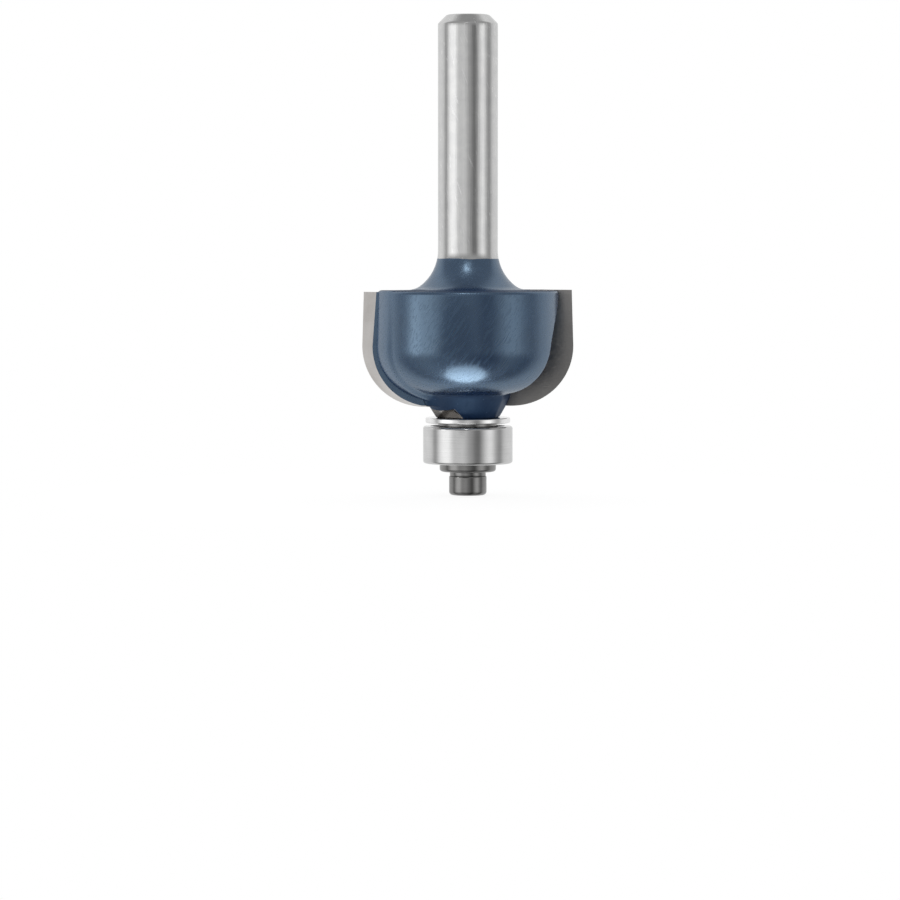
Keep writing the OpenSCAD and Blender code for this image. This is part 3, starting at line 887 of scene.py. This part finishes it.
def screw_surface():
    """The screw as rows up its surface from the socket's point, round the head and up the thread. A
    socket's row is half its width over the cosine of the angle from the nearest flat's middle, a
    head's row is round, and in a thread's row the radius rises and falls once as the angle winds."""
    angle = np.arange(screw_columns) * 2 * np.pi / screw_columns
    hexagon = socket_w / 2 / np.cos(np.mod(angle, np.pi / 3) - np.pi / 6)
    circle = np.ones(screw_columns)
    rows = [(circle * 0, socket_d + socket_cone), (circle * socket_w * 0.49, socket_d + 0.005),
            (hexagon * 0.995, socket_d), (hexagon, socket_d - 0.01), (hexagon, 0.08),
            (np.maximum(hexagon, socket_rim), 0.005), (circle * rim_outside, 0)]
    for lean in np.linspace(0, np.pi / 2, 9):
        r = head_r - head_round + head_round * np.sin(lean)
        rows.append((circle * r, head_round - head_round * np.cos(lean)))
    rows += [(circle * head_r, height) for height in (0.5, 1.2, head_h - 0.2, head_h - 0.12)]
    rows += [(circle * (head_r - 0.02), head_h - 0.04), (circle * (head_r - 0.08), head_h),
             (circle * (screw_r - 0.06), head_h)]
    for z in np.linspace(head_h + thread_start, screw_top - thread_end, thread_rows):
        phase = np.mod((z - head_h) / thread_pitch - angle / (2 * np.pi), 1)
        fade = min(1, (z - head_h) / thread_pitch)
        rows.append((screw_r - 0.005 - thread_depth * fade * np.abs(2 * phase - 1), z))
    rows += [(circle * (screw_r - 0.28), screw_top - 0.02), (circle * (screw_r - 0.35), screw_top),
             (circle * 0, screw_top)]
    radius = np.stack([r for r, _ in rows])
    height = np.repeat(np.array([z for _, z in rows])[:, None], screw_columns, axis=1)
    grid = np.stack([radius * np.cos(angle), radius * np.sin(angle), height], axis=2)
    n = len(rows)
    points = np.concatenate([grid[0, :1], grid[1:-1].reshape(-1, 3), grid[-1, :1]])
    i, j = np.meshgrid(np.arange(n - 3), np.arange(screw_columns), indexing="ij")
    after = (j + 1) % screw_columns
    low, high = 1 + i * screw_columns, 1 + (i + 1) * screw_columns
    faces = np.stack([low + j, low + after, high + after, high + j], axis=2).reshape(-1, 4)
    column = np.arange(screw_columns)
    beside = (column + 1) % screw_columns
    tail = 1 + (n - 3) * screw_columns
    bottom = np.stack([0 * column, 1 + beside, 1 + column], axis=1)
    top = np.stack([0 * column + len(points) - 1, tail + column, tail + beside], axis=1)
    return points, [*faces, *bottom, *top]


points, faces = screw_surface()
screw = piece_from("small_cap_screw", points, faces, "root", ["cap_screw"],
                   smooth_angle=28)
screw.data.materials.append(black_oxide)

# The floor and the light. The bit stands on a plain pale floor in a white studio, with a soft panel
# to each side of the camera and dim gaps between them. Reflections see the studio, not the floor.
floor_r = 45
floor_sides = 64
floor_white = 1.2
floor_mesh = bpy.data.meshes.new("floor")
turn = np.linspace(0, 2 * np.pi, floor_sides, endpoint=False)
floor_mesh.from_pydata(floor_r * MM * np.stack([np.cos(turn), np.sin(turn), 0 * turn], axis=1),
                       [], [list(range(floor_sides))])
floor = bpy.data.objects.new("floor", floor_mesh)
bpy.context.scene.collection.objects.link(floor)
floor.visible_glossy = False


def open_tree(owner):
    """The emptied node tree of a new material or world."""
    owner.use_nodes = True
    owner.node_tree.nodes.clear()
    return owner.node_tree


def show(tree, share, first, second, kind="ShaderNodeOutputMaterial"):
    """Shows a blend of two shaders, first where the share is 0 and second where it is 1."""
    both = add_node(tree, "ShaderNodeMixShader", {0: share, 1: first.outputs[0], 2: second.outputs[0]})
    add_node(tree, kind, {"Surface": both.outputs[0]})


def pale_floor():
    """A pale matt floor that keeps a soft shadow, and is white to the camera elsewhere."""
    made = bpy.data.materials.new("pale_floor")
    tree = open_tree(made)
    matt = add_node(tree, "ShaderNodeBsdfDiffuse", {"Color": (0.8, 0.8, 0.8, 1)})
    white = add_node(tree, "ShaderNodeEmission", {"Color": (1, 1, 1, 1), "Strength": floor_white})
    ray = add_node(tree, "ShaderNodeLightPath").outputs
    mirrored = math_of(tree, "MAXIMUM", ray["Is Glossy Ray"], ray["Is Transmission Ray"])
    share = math_of(tree, "MAXIMUM", math_of(tree, "MULTIPLY", ray["Is Camera Ray"], 0.75),
                    math_of(tree, "MULTIPLY", mirrored, 0.3))
    show(tree, share, matt, white)
    return made


floor_mesh.materials.append(pale_floor())

# Two cards that only reflections see stand round the bit. A dim one in front darkens the head's
# middle, and a bright one lights its left.


def studio_card(name, level, middle, reach, firmness):
    """A flat oval card with one level of light, which fades at its rim: its share is 1 less the
    square of the way out, times the firmness. Its reach is nothing across its plane."""
    flat = reach.index(0)
    first, second = [axis for axis in range(3) if axis != flat]
    corners = np.tile(np.array(middle, float), (4, 1))
    corners[:, first] += reach[first] * np.array([-1, 1, 1, -1])
    corners[:, second] += reach[second] * np.array([-1, -1, 1, 1])
    mesh = bpy.data.meshes.new(name)
    mesh.from_pydata(corners * MM, [], [(0, 1, 2, 3)])
    made = bpy.data.materials.new(name)
    tree = open_tree(made)
    place = add_node(tree, "ShaderNodeTexCoord").outputs["Object"]
    spread = add_node(tree, "ShaderNodeMapping", {
        "Vector": place, "Location": [-m / r if r else 0 for m, r in zip(middle, reach)],
        "Scale": [1 / (r * MM) if r else 0 for r in reach]})
    away = add_node(tree, "ShaderNodeVectorMath", {0: spread.outputs[0], 1: spread.outputs[0]},
                    operation="DOT_PRODUCT").outputs["Value"]
    left = math_of(tree, "MULTIPLY", math_of(tree, "SUBTRACT", 1.0, away), firmness)
    share = add_node(tree, "ShaderNodeClamp", {"Value": left}).outputs[0]
    clear = add_node(tree, "ShaderNodeBsdfTransparent")
    light = add_node(tree, "ShaderNodeEmission", {"Color": (1, 1, 1, 1), "Strength": level})
    show(tree, share, clear, light)
    mesh.materials.append(made)
    card = bpy.data.objects.new(name, mesh)
    for sight in ("camera", "diffuse", "shadow", "transmission"):
        setattr(card, "visible_" + sight, False)
    bpy.context.scene.collection.objects.link(card)


studio_card("dim_front_card", 0.27, (-9, -35, 14.2), (15, 0, 9.5), 2.5)
studio_card("bright_side_card", 1.85, (-36.5, -19, 15), (0, 6.5, 8), 2.0)

# Two lamps in front of the bit shine through grids, so that only what they face sees them: a low
# one lights the bowl from below, and a high one the neck. Each is four oval lamps on one another,
# (share of its reach, share of its power), which make it fade to its rim.
lamp_rings = ((0.86, 0.2), (0.67, 0.3), (0.46, 0.3), (0.24, 0.2))


def gridded_lamp(name, middle, reach, faces, power, spread):
    """An oval lamp at its middle, turned to face a point, with light in a cone of a given spread."""
    way = Vector(faces) - Vector(middle)
    for share, part in lamp_rings:
        lamp = bpy.data.lights.new(name, "AREA")
        lamp.shape = "ELLIPSE"
        lamp.size = 2 * reach[0] * share * MM
        lamp.size_y = 2 * reach[1] * share * MM
        lamp.spread = np.radians(spread)
        lamp.energy = power * part * share * share
        stand = bpy.data.objects.new(name, lamp)
        stand.location = [value * MM for value in middle]
        stand.rotation_euler = way.to_track_quat("-Z", "Y").to_euler()
        stand.visible_camera = False
        stand.visible_diffuse = False
        bpy.context.scene.collection.objects.link(stand)


gridded_lamp("low_lamp", (-0.9, -17.0, 0.5), (8.8, 10.2), (-0.9, -17.0, 10), 0.0068, 110)
gridded_lamp("high_lamp", (-3, -38, 60), (7, 12), (0, -5, 24), 0.0011, 48)

# The studio's panels and gaps, which light the bit and show in its bright steel. Each pair is an
# angle round from the camera to its right, in degrees, and the level of light there. Over the
# panels in front is a dimmer wall, below them they fade, and overhead is an even ceiling.
around = [(-180, 0.9), (-150, 0.84), (-124, 0.9), (-106, 0.76), (-92, 0.45), (-79, 0.95), (-65, 1.35),
          (-52, 1.35), (-38, 0.85), (-24, 0.78), (-12, 0.78), (0, 0.55), (13, 0.36), (24, 0.22),
          (33, 0.34), (45, 0.78), (60, 1.08), (74, 0.66), (90, 0.38), (105, 0.7), (124, 0.85),
          (150, 0.82), (180, 0.85)]
brightest = max(level for _, level in around)
wall_level = 0.42
ceiling_level = 0.36
low_loss = 0.6


def studio_world():
    """Light by direction: the angle round from the camera picks the level. In front it blends to the
    wall's level above the panels, and is less by the low loss beneath them. The direction's height
    blends all of it to the ceiling's level. The camera sees plain white."""
    world = bpy.data.worlds.new("studio")
    tree = open_tree(world)
    way = add_node(tree, "ShaderNodeTexCoord").outputs["Generated"]
    xyz = add_node(tree, "ShaderNodeSeparateXYZ", {"Vector": way}).outputs
    angle = math_of(tree, "ARCTAN2", xyz["X"], math_of(tree, "MULTIPLY", xyz["Y"], -1.0))
    share = band(tree, angle, -np.pi, np.pi)
    ramp = add_node(tree, "ShaderNodeValToRGB", {"Fac": share})
    ramp.color_ramp.interpolation = "CARDINAL"
    elements = ramp.color_ramp.elements
    while len(elements) < len(around):
        elements.new(0.5)
    for element, (degrees, level) in zip(elements, around):
        element.position = (degrees + 180) / 360
        element.color = (level / brightest, level / brightest, level / brightest, 1)
    side = math_of(tree, "MULTIPLY", ramp.outputs[0], brightest)
    ahead = band(tree, xyz["Y"], 0.3, -0.2)
    sunk = math_of(tree, "MULTIPLY", band(tree, xyz["Z"], -0.08, -0.3), -low_loss)
    sunk = math_of(tree, "MULTIPLY", sunk, ahead)
    side = math_of(tree, "MULTIPLY", side, math_of(tree, "ADD", 1.0, sunk))
    shade = math_of(tree, "MULTIPLY", band(tree, xyz["Z"], 0.1, 0.3), ahead)
    side = blend_of(tree, shade, side, wall_level)
    level = blend_of(tree, band(tree, xyz["Z"], 0.8, 0.97), side, ceiling_level)
    lit = add_node(tree, "ShaderNodeBackground", {"Color": (1, 1, 1, 1), "Strength": level})
    white = add_node(tree, "ShaderNodeBackground", {"Color": (1, 1, 1, 1), "Strength": 1.0})
    seen = add_node(tree, "ShaderNodeLightPath").outputs["Is Camera Ray"]
    show(tree, seen, lit, white, "ShaderNodeOutputWorld")
    return world


bpy.context.scene.world = studio_world()
bpy.context.scene.view_settings.view_transform = "Standard"
